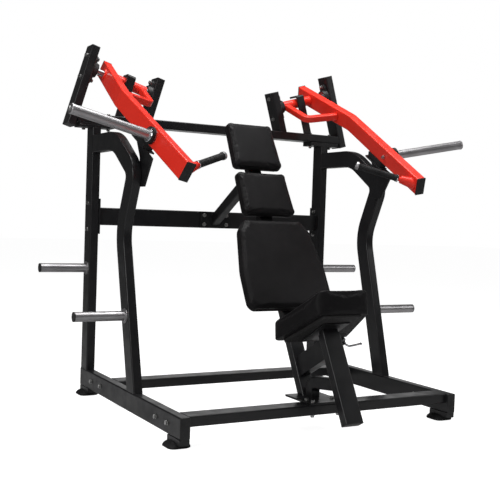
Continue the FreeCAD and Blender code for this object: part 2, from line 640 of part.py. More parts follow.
# Back rest brace: from a plate on the middle bar, forward and up to the back tube.
brace_slope = 30.5
brace_face_y = mid_front - D["flange_plate"]
strut_turn = Rotation(X_AXIS, 90 - brace_slope)
strut = box_tube("strut_blank", "tube_width", 60, 620,
                 place=Placement(Vector(0, brace_face_y + 20, mid_z - 12), strut_turn))
strut_rear_trim = block("strut_rear_trim", 300, 200, 600, at(0, brace_face_y + 100, mid_z - 300))
strut_front_trim = block("strut_front_trim", 300, 600, 1200,
                         BACK * at(0, tube_middle + 25.1 - 300, 300))
strut_body = cut("strut_body", strut, strut_rear_trim, strut_front_trim)
strut_plate = cut("strut_plate_drilled",
                  block("strut_plate", 200, 100, 8,
                        Placement(Vector(0, mid_front, mid_z), facing_front)),
                  *bolt_holes("strut_plate", brace_places, 60))
node("backrest_brace", fused("backrest_strut", strut_body, strut_plate))
for i, place in enumerate(brace_places):
    bolts.append(bolt(f"brace_bolt_{i}", D["tube_width"] + D["flange_plate"], place))

for i, place in enumerate(base_bolt_places):
    bolts.append(bolt(f"base_bolt_{i}", 60, place))

# Each back pad's outline, across and up the back, and the radius at each of its corners.
PAD_OUTLINES = {
    "lower_pad": ([(-236, 0), (236, 0), (261, 30), (260, 216), (222, 455), (176, 522), (-176, 522),
                   (-222, 455), (-260, 216), (-261, 30)], [25, 25, 25, 150, 50, 25, 25, 50, 150, 25]),
    "middle_pad": ([(-164, 555), (164, 555), (155, 822), (-155, 822)], [28] * 4),
    "head_pad": ([(-155, 851), (155, 851), (145, 1142), (-145, 1142)], [28] * 4),
}
boards = []
for name, (outline, radii) in PAD_OUTLINES.items():
    pad_body = padded_outline(name + "_body", "XZ_Plane", outline, "pad_thick",
                              BACK * at(0, D["pad_thick"] / 2, 0), radii=radii)
    node(name, pad_body)
    middle_height = sum(z for x, z in outline) / len(outline)
    inset = [(x * 0.92, middle_height + (z - middle_height) * 0.93) for x, z in outline]
    boards.append(padded_outline(name + "_board", "XZ_Plane", inset, "board_thick - 0.2",
                                 BACK * at(0, D["pad_thick"] + D["board_thick"] / 2, 0),
                                 radii=[r * 0.8 for r in radii]))
node("pad_boards", grouped("pad_boards", boards))

# ---------------------------------------------------------------- seat post and seat

post_middle = D["seat_post_front"] + D["tube_width"] / 2
post_turn = Rotation(Z_AXIS, 90)
pin_height = D["seat_post_high"] - 32
pin_place = BACK * Placement(Vector(D["tube_depth"] / 2, post_middle, pin_height), ALONG_X)
seat_post = box_tube("seat_post_blank", "tube_width", "tube_depth", "seat_post_high - seat_post_low",
                     place=BACK * Placement(Vector(0, post_middle, D["seat_post_low"]), post_turn))
post_hole = rod("post_pin_hole", "pin_radius + 0.3", 20, pin_place * at(0, 0, -10))
node("seat_post", cut("seat_post_drilled", seat_post, post_hole))

side_caps = grouped("side_caps", end_caps)
central_caps = [end_plug("seat_post_plug", "tube_depth", "tube_width",
                         BACK * Placement(Vector(0, post_middle, D["seat_post_low"]), upside_down)),
                end_plug("back_tube_plug", "back_tube_width", "back_tube_depth",
                         BACK * at(0, tube_middle, D["back_tube_top"]))]
node("frame_end_caps", grouped("frame_end_caps",
                               [side_caps, mirrored("side_caps_left", side_caps), *central_caps]))

connector_route = [Vector(0, -469, plate_top), Vector(0, -469, 232), Vector(0, -731, 262)]
connector = bent_tube("connector_blank", connector_route, [48], X_AXIS, 50, 60, 3)
post_rear = D["seat_post_front"] + D["tube_width"]
post_keepout = block("connector_post_trim", 120, 400, 1000, BACK * at(0, post_rear - 199.9, -750))
tube_keepout = block("connector_tube_trim", 120, 100, 1200, BACK * at(0, tube_front + 49.9, -500))
node("lower_connector", cut("connector", connector, post_keepout, tube_keepout))

# Upper link: a short open channel that ties the seat post to the back tube.
link_run = tube_front - post_rear - 0.4
link_middle = (tube_front + post_rear) / 2
link_low = D["seat_post_high"] - 110
link = block("link_plate", 50, link_run, 100, BACK * at(0, link_middle, link_low))
link_hollow = block("link_hollow", 40, link_run + 10, 95, BACK * at(0, link_middle, link_low + 5))
node("upper_connector", cut("link", link, link_hollow))

# Seat column: telescopes inside the seat post and carries the seat.
column_width = "tube_depth - 2 * tube_wall - 2 * column_gap"
column_depth = "tube_width - 2 * tube_wall - 2 * column_gap"
column_low, column_high = D["seat_post_high"] - 260, D["seat_post_high"] + 18
column = box_tube("column_blank", column_depth, column_width, column_high - column_low,
                  wall="column_wall",
                  place=BACK * Placement(Vector(0, post_middle, column_low), post_turn))
seat_plate = block("seat_plate", 150, 210, 6, BACK * at(0, post_middle + 20, column_high))
node("seat_column", fused("seat_column_welded", column, seat_plate))

board_low = column_high + 6.2
board_high = board_low + 12
board_plan = [(-112, -385), (112, -385), (172, -68), (-172, -68)]
node("seat_board", padded_outline("seat_board_body", "XY_Plane", board_plan, "board_thick",
                                  BACK * at(0, 0, board_low), midplane=False, radii=[25] * 4))
# The seat's front and rear faces stand plumb while its top is square to the back rest.
pad_low = board_high + 0.2
seat_plan = [(-144, -456), (144, -456), (224, -46), (-224, -46)]
seat_side = [(-402, pad_low), (-50, pad_low), (-90, -112), (-456, -92)]
plan_body = padded_outline("seat_plan_body", "XY_Plane", seat_plan, 200, BACK * at(0, 0, -150),
                           radii=[34, 34, 45, 45])
side_body = padded_outline("seat_side_body", "YZ_Plane", seat_side, 600, BACK,
                           radii=[8, 8, 10, 8])
seat_shape = doc.addObject("Part::Common", "seat_pad_solid")
seat_shape.Base, seat_shape.Tool = plan_body, side_body
node("seat_pad", seat_shape)

# Seat lock: a sprung lever on the post's right side draws a clamp pin off the column.
post_side = D["tube_depth"] / 2
hinge_x, hinge_z = post_side + 24, pin_height + 18
hinge_turn = Rotation(X_AXIS, -90)      # own +Z to +Y
cheek = block("lever_cheek", 5, 40, 48, BACK * at(post_side + 2.6, post_middle, pin_height - 17))
ears = [block(f"lever_ear_{i}", 34, 5, 20, BACK * at(post_side + 20, post_middle + y, pin_height + 8))
        for i, y in enumerate((-15.5, 15.5))]
hinge_pin = rod("lever_hinge_pin", 3, 36, BACK * Placement(Vector(hinge_x, post_middle - 18, hinge_z),
                                                        hinge_turn))
cheek_hole = rod("lever_cheek_hole", "pin_radius + 0.3", 30, pin_place * at(0, 0, -10))
node("lever_bracket", cut("lever_bracket_drilled",
                          fused("bracket_solid", cheek, *ears, hinge_pin), cheek_hole))

lever_plate = block("lever_plate", 4, 24, 44, BACK * at(hinge_x, post_middle, pin_height - 26))
knuckle = rod("lever_knuckle", 6.5, 25, BACK * Placement(Vector(hinge_x, post_middle - 12.5, hinge_z),
                                                       hinge_turn))
knuckle_bore = rod("lever_knuckle_bore", 3.05, 60,
                   BACK * Placement(Vector(hinge_x, post_middle - 30, hinge_z), hinge_turn))
pin_slot = rod("lever_slot", 6.5, 60, pin_place)
# The hand lever leaves the plate's foot outwards and down, then runs level.
neck_turn, hand_turn = Rotation(Y_AXIS, 120), Rotation(Y_AXIS, 82)
neck_start = Vector(hinge_x, post_middle, pin_height - 21)
hand_start = neck_start + neck_turn.multVec(Vector(0, 0, 30))
hand_end = hand_start + hand_turn.multVec(Vector(0, 0, 74))
lever_neck = rod("lever_neck", 5, 30, BACK * Placement(neck_start, neck_turn))
lever_hand = rod("lever_hand", 5, 74, BACK * Placement(hand_start, hand_turn))
lever_ends = []
for i, (spot, radius) in enumerate(((hand_start, 5), (hand_end, 7))):
    ball = bind(doc.addObject("Part::Sphere", f"lever_ball_{i}"), Radius=radius)
    ball.Placement = BACK * Placement(spot, hand_turn)
    lever_ends.append(ball)
lever_solid = fused("lever_solid", lever_plate, knuckle, lever_neck, lever_hand, *lever_ends)
node("adjust_lever", cut("lever", lever_solid, knuckle_bore, pin_slot))

pin_tip = 0.3 - D["tube_wall"] - D["column_gap"]
node("lock_pin", fused("pin", rod("pin_body", "pin_radius", 14 - pin_tip, pin_place * at(0, 0, pin_tip)),
                       rod("pin_neck", 3, 18, pin_place * at(0, 0, 12)),
                       rod("pin_head", 9, 5, pin_place * at(0, 0, 27.6))))

# ---------------------------------------------------------------- bolts

paired = [b for b in bolts if not b.Name.startswith(("brace_bolt", "base_bolt"))]
central = [b for b in bolts if b.Name.startswith(("brace_bolt", "base_bolt"))]
right_bolts = grouped("right_bolts", paired)
node("frame_bolts", grouped("frame_bolts", [right_bolts, mirrored("left_bolts", right_bolts)] + central))

# ---------------------------------------------------------------- check and write

doc.recompute()
faults = [f"{item.Name}: {item.State}" for item in doc.Objects
          if {"Invalid", "Error"} & set(item.State)]
for name, item in NODES.items():
    shape = item.Shape
    if shape.isNull() or not shape.isValid() or not shape.Solids:
        faults.append(f"{name}: bad shape")
if faults:
    raise SystemExit("faults:\n" + "\n".join(faults))

os.makedirs("parts", exist_ok=True)
for old in os.listdir("parts"):
    os.remove(os.path.join("parts", old))
for name, item in NODES.items():
    item.Shape.exportStep(f"parts/{name}.step")
total = Part.makeCompound([item.Shape for item in NODES.values()])
box = total.BoundBox
print(len(NODES), "nodes; X", round(box.XMin, 1), round(box.XMax, 1), "Y", round(box.YMin, 1),
      round(box.YMax, 1), "Z", round(box.ZMin, 1), round(box.ZMax, 1))
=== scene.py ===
"""Looks of the chest press machine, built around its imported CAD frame.

Everything is in metres in the frame's own axes: +X across the machine, -Y the front, +Z up.
"""
import json
import math

import bmesh
import bpy
import numpy as np
from mathutils import Matrix, Vector
from mathutils.bvhtree import BVHTree


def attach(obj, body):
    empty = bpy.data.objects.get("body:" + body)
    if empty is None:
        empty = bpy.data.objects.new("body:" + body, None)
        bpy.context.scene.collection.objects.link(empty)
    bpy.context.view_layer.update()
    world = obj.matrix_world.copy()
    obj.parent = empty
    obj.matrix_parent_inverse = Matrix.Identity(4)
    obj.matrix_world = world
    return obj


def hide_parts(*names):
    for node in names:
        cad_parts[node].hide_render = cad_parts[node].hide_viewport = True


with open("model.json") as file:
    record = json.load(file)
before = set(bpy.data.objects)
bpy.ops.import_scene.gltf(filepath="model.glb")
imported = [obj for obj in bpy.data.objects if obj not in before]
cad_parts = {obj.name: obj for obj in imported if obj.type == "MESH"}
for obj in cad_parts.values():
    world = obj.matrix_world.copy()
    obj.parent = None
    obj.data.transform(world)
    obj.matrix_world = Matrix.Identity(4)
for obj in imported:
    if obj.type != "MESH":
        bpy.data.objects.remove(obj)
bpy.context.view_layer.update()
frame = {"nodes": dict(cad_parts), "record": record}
NODES = frame["nodes"]
SCENE = bpy.context.scene
SCENE.view_settings.view_transform = "Standard"

# the back rest's own axes: X across, Y from the pads' front faces to their boards, Z up the back
RECLINE = math.radians(29)
BACK_ORIGIN = Vector((0, -0.277, 0.583))
BACK = Matrix.Translation(BACK_ORIGIN) @ Matrix.Rotation(-RECLINE, 4, "X")


# ---------------------------------------------------------------- materials

class Finish:
    """One procedural material, laid out on the object's own coordinates."""

    def __init__(self, name, color, roughness, metallic=0.0, specular=0.5):
        self.material = bpy.data.materials.new(name)
        self.material.use_nodes = True
        self.material.diffuse_color = (*color, 1)
        self.tree = self.material.node_tree
        self.color = color
        self.shader = self.tree.nodes["Principled BSDF"]
        self.shader.inputs["Base Color"].default_value = (*color, 1)
        self.shader.inputs["Roughness"].default_value = roughness
        self.shader.inputs["Metallic"].default_value = metallic
        self.shader.inputs["Specular IOR Level"].default_value = specular
        self.place = self.tree.nodes.new("ShaderNodeTexCoord").outputs["Object"]
        self.normal = None

    def node(self, kind, **values):
        """A new node with its sockets or settings given by name."""
        made = self.tree.nodes.new(kind)
        for key, value in values.items():
            if key in made.inputs:
                made.inputs[key].default_value = value
            else:
                setattr(made, key, value)
        return made

    def link(self, out, into):
        self.tree.links.new(out, into)

    def noise(self, scale, detail, stretch=None):
        """Noise, mostly from 0.35 to 0.65, its grain packed closer along each axis by stretch."""
        made = self.node("ShaderNodeTexNoise", Scale=scale, Detail=detail)
        place = self.place
        if stretch:
            scaled = self.node("ShaderNodeVectorMath", operation="MULTIPLY")
            scaled.inputs[1].default_value = stretch
            self.link(self.place, scaled.inputs[0])
            place = scaled.outputs[0]
        self.link(place, made.inputs["Vector"])
        return made.outputs["Fac"]

    def spread(self, value, low, high, start=0.35, end=0.65):
        """A value between start and end, carried over to between low and high."""
        made = self.node("ShaderNodeMapRange")
        for socket, number in zip(made.inputs[1:5], (start, end, low, high)):
            socket.default_value = number
        self.link(value, made.inputs[0])
        return made.outputs[0]

    def tint(self, value, other, strength):
        """Mix the colour so far towards another one, by a value of 0 to 1."""
        mix = self.node("ShaderNodeMix", data_type="RGBA")
        socket = self.shader.inputs["Base Color"]
        if socket.is_linked:
            self.link(socket.links[0].from_socket, mix.inputs[6])
        else:
            mix.inputs[6].default_value = (*self.color, 1)
        mix.inputs[7].default_value = (*other, 1)
        factor = self.spread(value, 0, strength, 0, 1)
        self.link(factor, mix.inputs[0])
        self.link(mix.outputs[2], socket)

    def rough(self, value, low, high):
        """Roughness that goes from low to high with a noise."""
        self.link(self.spread(value, low, high), self.shader.inputs["Roughness"])

    def soften(self, radius):
        """Round the shading of edges, and return how close to an edge a point is, as 0 to 1."""
        bevel = self.node("ShaderNodeBevel", samples=4)
        bevel.inputs["Radius"].default_value = radius
        self.normal = bevel.outputs[0]
        geometry = self.node("ShaderNodeNewGeometry")
        dot = self.node("ShaderNodeVectorMath", operation="DOT_PRODUCT")
        self.link(bevel.outputs[0], dot.inputs[0])
        self.link(geometry.outputs["Normal"], dot.inputs[1])
        self.link(self.normal, self.shader.inputs["Normal"])
        return self.spread(dot.outputs["Value"], 1, 0, 0.78, 0.985)

    def bump(self, height, strength, distance):
        """Fine relief on top of the relief so far."""
        made = self.node("ShaderNodeBump", Strength=strength, Distance=distance)
        self.link(height, made.inputs["Height"])
        if self.normal:
            self.link(self.normal, made.inputs["Normal"])
        self.normal = made.outputs[0]
        self.link(self.normal, self.shader.inputs["Normal"])

    def worn(self, edge, other, strength):
        """Patchy wear along the edges."""
        patchy = self.node("ShaderNodeMath", operation="MULTIPLY")
        self.link(edge, patchy.inputs[0])
        self.link(self.spread(self.noise(38, 4), 0, 1, 0.42, 0.6), patchy.inputs[1])
        self.tint(patchy.outputs[0], other, strength)


def powder_coat(name, color, faded, worn, roughness, specular, coat):
    """Sprayed paint with a faint orange peel, faded in patches and worn at the edges."""
    look = Finish(name, color, roughness, specular=specular)
    look.shader.inputs["Coat Weight"].default_value = coat
    look.shader.inputs["Coat Roughness"].default_value = 0.12
    edge = look.soften(0.0022)
    look.tint(look.spread(look.noise(3.2, 4), 0, 1), faded, 0.55)
    look.worn(edge, worn, 0.35)
    look.rough(look.noise(14, 5), roughness - 0.05, roughness + 0.08)
    look.bump(look.noise(620, 2), 0.05, 0.0006)
    return look.material


def bare_metal(name, color, roughness, stretch, bump, dark=0.72):
    """Bare or plated metal, darker in patches, its fine marks packed closer along each axis by stretch."""
    look = Finish(name, color, roughness, metallic=1.0)
    look.soften(0.0012)
    look.tint(look.spread(look.noise(9, 4), 0, 1), tuple(c * dark for c in color), 0.6)
    look.rough(look.noise(55, 4, stretch), roughness * 0.75, roughness * 1.3)
    look.bump(look.noise(260, 3, stretch), bump, 0.0004)
    return look.material


def vinyl():
    """Upholstery vinyl: a pebbled grain of wobbly cells, and soft creases."""
    look = Finish("pad_vinyl", (0.0068, 0.0064, 0.0069), 0.48, specular=0.11)
    look.shader.inputs["Sheen Weight"].default_value = 0.02
    grain = look.node("ShaderNodeTexVoronoi", feature="DISTANCE_TO_EDGE", Scale=620)
    wobble = look.node("ShaderNodeVectorMath", operation="MULTIPLY_ADD")
    wobble.inputs[1].default_value = (0.004, 0.004, 0.004)
    blur = look.node("ShaderNodeTexNoise", Scale=90, Detail=2)
    look.link(look.place, blur.inputs["Vector"])
    look.link(blur.outputs["Color"], wobble.inputs[0])
    look.link(look.place, wobble.inputs[2])
    look.link(wobble.outputs[0], grain.inputs["Vector"])
    height = look.spread(grain.outputs["Distance"], 0, 1, 0, 0.12)
    look.tint(look.spread(look.noise(5, 4), 0, 1), (0.014, 0.0132, 0.014), 0.7)
    look.rough(look.noise(24, 4), 0.36, 0.5)
    look.bump(look.noise(46, 3), 0.12, 0.002)
    look.bump(height, 0.22, 0.0005)
    return look.material


def rubber(name, color, roughness, fleck):
    """Moulded rubber or plastic, with a fine surface fleck."""
    look = Finish(name, color, roughness, specular=0.3)
    look.soften(0.002)
    look.tint(look.spread(look.noise(18, 5), 0, 1), tuple(c * 2.1 + 0.004 for c in color), 0.5)
    look.rough(look.noise(70, 3), roughness - 0.08, roughness + 0.1)
    look.bump(look.noise(fleck, 3), 0.25, 0.0005)
    return look.material


def board():
    """The pads' laminated boards, streaked and worn at the edges."""
    look = Finish("pad_board", (0.02, 0.02, 0.021), 0.6, specular=0.3)
    edge = look.soften(0.0015)
    look.tint(look.noise(60, 4, (1, 12, 1)), (0.035, 0.033, 0.032), 0.8)
    look.worn(edge, (0.1, 0.085, 0.07), 0.4)
    look.rough(look.noise(120, 2), 0.5, 0.7)
    look.bump(look.noise(300, 3, (1, 9, 1)), 0.2, 0.0005)
    return look.material


MATERIALS = {
    "black_paint": powder_coat(
        "black_paint", (0.0085, 0.0085, 0.0095), faded=(0.013, 0.0125, 0.0135),
        worn=(0.09, 0.09, 0.095), roughness=0.34, specular=0.36, coat=0.12),
    "red_paint": powder_coat(
        "red_paint", (0.9, 0.03, 0.014), faded=(0.94, 0.042, 0.022),
        worn=(0.85, 0.2, 0.16), roughness=0.36, specular=0.42, coat=0.2),
    "satin_steel": bare_metal(
        "satin_steel", (0.5, 0.49, 0.5), roughness=0.4, stretch=(14, 14, 14), bump=0.12),
    "shaft_steel": bare_metal(
        "shaft_steel", (0.45, 0.45, 0.46), roughness=0.25, stretch=(1, 20, 20), bump=0.1),
    "bearing_iron": powder_coat(
        "bearing_iron", (0.016, 0.016, 0.017), faded=(0.026, 0.026, 0.028),
        worn=(0.12, 0.12, 0.12), roughness=0.48, specular=0.35, coat=0.0),
    "zinc_bolt": bare_metal(
        "zinc_bolt", (0.56, 0.56, 0.55), roughness=0.3, stretch=(6, 6, 6), bump=0.15, dark=0.6),
    "lever_chrome": bare_metal(
        "lever_chrome", (0.7, 0.7, 0.72), roughness=0.16, stretch=(8, 8, 1), bump=0.03, dark=0.85),
    "pad_vinyl": vinyl(),
    "pad_board": board(),
    "grip_rubber": rubber("grip_rubber", (0.012, 0.012, 0.0125), roughness=0.6, fleck=900),
    "black_rubber": rubber("black_rubber", (0.011, 0.011, 0.0115), roughness=0.68, fleck=500),
    "black_plastic": rubber("black_plastic", (0.014, 0.014, 0.0145), roughness=0.42, fleck=1400),
}

for part in frame["record"]["subparts"]:
    slots = NODES[part["node"]].data.materials
    slots.clear()
    slots.append(MATERIALS[part["material_slot"]])


# ---------------------------------------------------------------- mesh helpers

SHARP_ANGLE = math.radians(38)
MERGE_DISTANCE = 1e-6
FLAT = 0.0005  # how far a point may lie from a flat end face and still belong to it


def add_mesh(name, points, faces, slot_name, body):
    """A new smooth-shaded piece from points in the frame's axes, riding on a body."""
    mesh = bpy.data.meshes.new(name)
    mesh.from_pydata([tuple(p) for p in points], [], faces)
    mesh.validate()
    tidy = bmesh.new()
    tidy.from_mesh(mesh)
    bmesh.ops.remove_doubles(tidy, verts=tidy.verts, dist=MERGE_DISTANCE)
    bmesh.ops.recalc_face_normals(tidy, faces=tidy.faces)
    tidy.to_mesh(mesh)
    tidy.free()
    mesh.polygons.foreach_set("use_smooth", [True] * len(mesh.polygons))
    mesh.set_sharp_from_angle(angle=SHARP_ANGLE)
    mesh.materials.append(MATERIALS[slot_name])
    piece = bpy.data.objects.new(name, mesh)
    SCENE.collection.objects.link(piece)
    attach(piece, body)
    return piece


def node_points(name):
    """The vertices of a CAD node, in the frame's axes."""
    return np.array([v.co for v in NODES[name].data.vertices], float)


def turned(base, axis):
    """A frame at base whose own Z is axis."""
    return Matrix.Translation(base) @ Vector(axis).to_track_quat("Z", "Y").to_matrix().to_4x4()


def skin(rings):
    """Points and faces of a closed shape through rings of equal length, capped at both ends."""
    count = len(rings[0])
    faces = []
    for ring in range(len(rings) - 1):
        for k in range(count):
            a = ring * count + k
            b = ring * count + (k + 1) % count
            faces.append((a, b, b + count, a + count))
    faces.append(tuple(range(count))[::-1])
    faces.append(tuple(range((len(rings) - 1) * count, len(rings) * count)))
    return [point for ring in rings for point in ring], faces


def lathe(profile, place, sides):
    """A profile of (radius, height) turned about a frame's Z, closed at both ends."""
    rings = []
    for radius, height in profile:
        turns = [2 * math.pi * k / sides for k in range(sides)]
        rings.append([place @ Vector((radius * math.cos(turn), radius * math.sin(turn), height))
                      for turn in turns])
    return skin(rings)


def joined(shapes):
    """Several shapes' points and faces as one."""
    points, faces = [], []
    for new_points, new_faces in shapes:
        shift = len(points)
        points += list(new_points)
        faces += [tuple(i + shift for i in face) for face in new_faces]
    return points, faces


HEX_SIDES = 6


def hexagon(radius, height, place):
    """A chamfered hex head standing on a frame's Z = 0."""
    profile = [(radius, 0), (radius, height * 0.82), (radius * 0.86, height), (radius * 0.4, height)]
    return lathe(profile, place, HEX_SIDES)


# ---------------------------------------------------------------- upholstery

VOXEL = 0.005
CLOTH_PRESSURE = 4
CLOTH_FRAMES = 20
SWELL_CAP = 0.006
HELD_DEPTH = 0.009
SEAM_WIDTH = 0.006
SEAM_DEPTH = 0.0018
STITCH_PITCH = 0.008
STITCH_LENGTH = 0.0052
STITCH_THICKNESS = 0.0012
STITCH_SIDES = 6
STITCH_STANDS = 0.35  # share of its thickness that a thread's middle lies above the cover
INSET_PASSES_PER_METRE = 1500
CROWN_SHARES = (0.9, 0.75, 0.6, 0.4, 0.2)
POINTS_AT_ONCE = 4000


def back_points(name):
    """A node's points in the back rest's own axes."""
    points = node_points(name)
    return (np.c_[points, np.ones(len(points))] @ np.array(BACK.inverted()).T)[:, :3]


def path_lengths(points):
    """How far along a path each of its points lies."""
    return np.concatenate([[0], np.cumsum(np.linalg.norm(np.diff(points, axis=0), axis=1))])


def resampled(loop, count):
    """Evenly spaced points round a closed loop."""
    closed = np.vstack([loop, loop[:1]])
    reach = path_lengths(closed)
    steps = np.linspace(0, reach[-1], count, endpoint=False)
    return np.column_stack([np.interp(steps, reach, closed[:, i]) for i in (0, 1)])


def inset_loop(loop, distance):
    """The loop moved inwards by a distance, its corners kept from crossing."""
    tangent = np.roll(loop, -1, axis=0) - np.roll(loop, 1, axis=0)
    normal = np.column_stack([-tangent[:, 1], tangent[:, 0]])
    normal /= np.linalg.norm(normal, axis=1)[:, None]
    moved = loop + normal * distance
    for _ in range(int(distance * INSET_PASSES_PER_METRE)):
        moved = (np.roll(moved, 1, axis=0) + moved * 2 + np.roll(moved, -1, axis=0)) / 4
    return moved


def pad_shell(loop, profile, warp, centre_height):
    """A closed pad: the loop carried along (inset, height) steps, then closed by shrinking rings."""
    rings = [[warp(x, y, height) for x, y in inset_loop(loop, inset)] for inset, height in profile]
    last_inset, last_height = profile[-1]
    last = inset_loop(loop, last_inset)
    middle = last.mean(0)
    rise = centre_height - last_height
    for share in CROWN_SHARES:
        height = last_height + rise * (1 - share ** 2)
        rings.append([warp(x, y, height) for x, y in middle + (last - middle) * share])
    return skin(rings)


def only(piece):
    """Select and activate one piece alone, as the operators need."""
    bpy.ops.object.select_all(action="DESELECT")
    piece.select_set(True)
    bpy.context.view_layer.objects.active = piece


def inflate(piece, pinned):
    """Swell a pad as stuffed cloth, with its back held and the swelling capped, then smooth it."""
    only(piece)
    piece.data.remesh_voxel_size = VOXEL
    bpy.ops.object.voxel_remesh()
    before = np.array([v.co for v in piece.data.vertices], float)
    group = piece.vertex_groups.new(name="held")
    group.add([i for i, p in enumerate(before) if pinned(p)], 1.0, "REPLACE")
    cloth = piece.modifiers.new("stuffing", "CLOTH")
    cloth.settings.quality = 4
    cloth.settings.use_pressure = True
    cloth.settings.uniform_pressure_force = CLOTH_PRESSURE
    cloth.settings.vertex_group_mass = "held"
    cloth.settings.effector_weights.gravity = 0
    for step in range(1, CLOTH_FRAMES + 1):
        SCENE.frame_set(step)
    swollen = piece.evaluated_get(bpy.context.evaluated_depsgraph_get())
    after = np.array([v.co for v in swollen.data.vertices], float)
    piece.modifiers.remove(cloth)
    SCENE.frame_set(1)
    move = after - before
    length = np.linalg.norm(move, axis=1)
    move *= np.minimum(1, SWELL_CAP / np.maximum(length, 1e-9))[:, None]
    piece.data.vertices.foreach_set("co", (before + move).astype(np.float32).ravel())
    smooth = piece.modifiers.new("rounder", "SMOOTH")
    smooth.factor = 0.5
    smooth.iterations = 2
    bpy.ops.object.modifier_apply(modifier=smooth.name)
    fine = piece.modifiers.new("finer", "SUBSURF")
    fine.levels = 1
    bpy.ops.object.modifier_apply(modifier=fine.name)


def press_seam(piece, line):
    """Draw the cover in along a sewn line, and return the line's places and normals on the cover."""
    points = np.array([v.co for v in piece.data.vertices], float)
    tree = BVHTree.FromObject(piece, bpy.context.evaluated_depsgraph_get())
    on_cover = [tree.find_nearest(p) for p in line]
    seam = np.array([hit[0] for hit in on_cover], float)
    inward = -np.array([hit[1] for hit in on_cover], float)
    moved = points.copy()
    for start in range(0, len(points), POINTS_AT_ONCE):
        chunk = points[start:start + POINTS_AT_ONCE]
        gap = np.linalg.norm(chunk[:, None, :] - seam[None, :, :], axis=2)
        closest = gap.argmin(axis=1)
        share = np.clip(1 - gap.min(axis=1) / SEAM_WIDTH, 0, 1)
        pressed = chunk + inward[closest] * (SEAM_DEPTH * share ** 2)[:, None]
        moved[start:start + POINTS_AT_ONCE] = pressed
    piece.data.vertices.foreach_set("co", moved.astype(np.float32).ravel())
    piece.data.update()
    return seam, -inward


def stitches(seam, normals):
    """Short raised threads along a sewn line."""
    thin = STITCH_THICKNESS * 0.25
    full = STITCH_THICKNESS * 0.5
    profile = [(thin, 0), (full, STITCH_LENGTH * 0.2), (full, STITCH_LENGTH * 0.8),
               (thin, STITCH_LENGTH)]
    shapes = []
    reach = path_lengths(seam)
    for step in np.arange(STITCH_PITCH / 2, reach[-1], STITCH_PITCH):
        k = min(int(np.searchsorted(reach, step)), len(seam) - 1)
        along = Vector(seam[k] - seam[k - 1])
        if along.length < 1e-7:
            continue
        along.normalize()
        lifted = Vector(seam[k]) + Vector(normals[k]) * STITCH_THICKNESS * STITCH_STANDS
        place = turned(lifted - along * STITCH_LENGTH / 2, along)
        shapes.append(lathe(profile, place, STITCH_SIDES))
    return joined(shapes)


def finish_pad(pad, name, line, body):
    seam, normals = press_seam(pad, line)
    pad.data.polygons.foreach_set("use_smooth", [True] * len(pad.data.polygons))
    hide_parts(name)
    points, faces = stitches(seam, normals)
    add_mesh(name + "_stitching", points, faces, "pad_vinyl", body)


PAD_DEPTH = 0.046
PAD_LOOP_POINTS = 260
PAD_CENTRE_DEPTH = -0.0005
PAD_SEAM_INSET = 0.0085
PAD_SEAM_DEPTH = 0.002
# (inset, depth) from the board round the border to the front face
PAD_BORDER = [(0.0035, PAD_DEPTH), (0.0012, PAD_DEPTH - 0.004), (0.0006, 0.0115), (0.0018, 0.006),
              (0.0048, 0.0027), (0.010, 0.0012), (0.022, 0.0006)]


def back_pad(name):
    """A pad of the back rest, grown from its front face's outline in the back rest's own axes."""
    local = back_points(name)
    face = local[local[:, 1] < FLAT][:, (0, 2)]
    face = np.unique(face.round(5), axis=0)
    middle = face.mean(0)
    order = np.argsort(np.arctan2(*(face - middle).T[::-1]))
    loop = resampled(face[order], PAD_LOOP_POINTS)

    def warp(x, z, depth):
        return BACK @ Vector((x, depth, z))

    points, faces = pad_shell(loop, PAD_BORDER, warp, PAD_CENTRE_DEPTH)
    pad = add_mesh(name + "_cover", points, faces, "pad_vinyl", "frame")
    held_from = PAD_DEPTH - HELD_DEPTH
    inflate(pad, lambda p: (BACK.inverted() @ Vector(p)).y > held_from)
    seam_loop = inset_loop(loop, PAD_SEAM_INSET)
    line = [warp(x, z, PAD_SEAM_DEPTH) for x, z in np.vstack([seam_loop, seam_loop[:1]])]
    finish_pad(pad, name, line, "frame")


SEAT_LENGTH = 0.40
SEAT_FRONT_HALF = 0.144
SEAT_REAR_HALF = 0.224
SEAT_FRONT_RADIUS = 0.034
SEAT_REAR_RADIUS = 0.045
SEAT_LOOP_POINTS = 240
SEAT_FRONT_LEAN = 0.008
SEAT_REAR_LEAN = 0.040
SEAT_REAR_DROP = 0.020
SEAT_CROWN = 0.0005
SEAT_SEAM_INSET = 0.0095
SEAT_SEAM_DEPTH = 0.004


def rounded_outline(corners, radii):
    """A polygon's outline with each corner rounded off by a parabola."""
    outline = []
    for i, radius in enumerate(radii):
        before, corner, after = corners[i - 1], corners[i], corners[(i + 1) % len(corners)]
        back = (before - corner) / np.linalg.norm(before - corner)
        ahead = (after - corner) / np.linalg.norm(after - corner)
        start = corner + back * radius * 1.1
        end = corner + ahead * radius * 1.1
        for share in np.linspace(0, 1, 9):
            pull = 2 * share * (1 - share)
            outline.append((1 - share) ** 2 * start + pull * corner + share ** 2 * end)
    return np.array(outline)


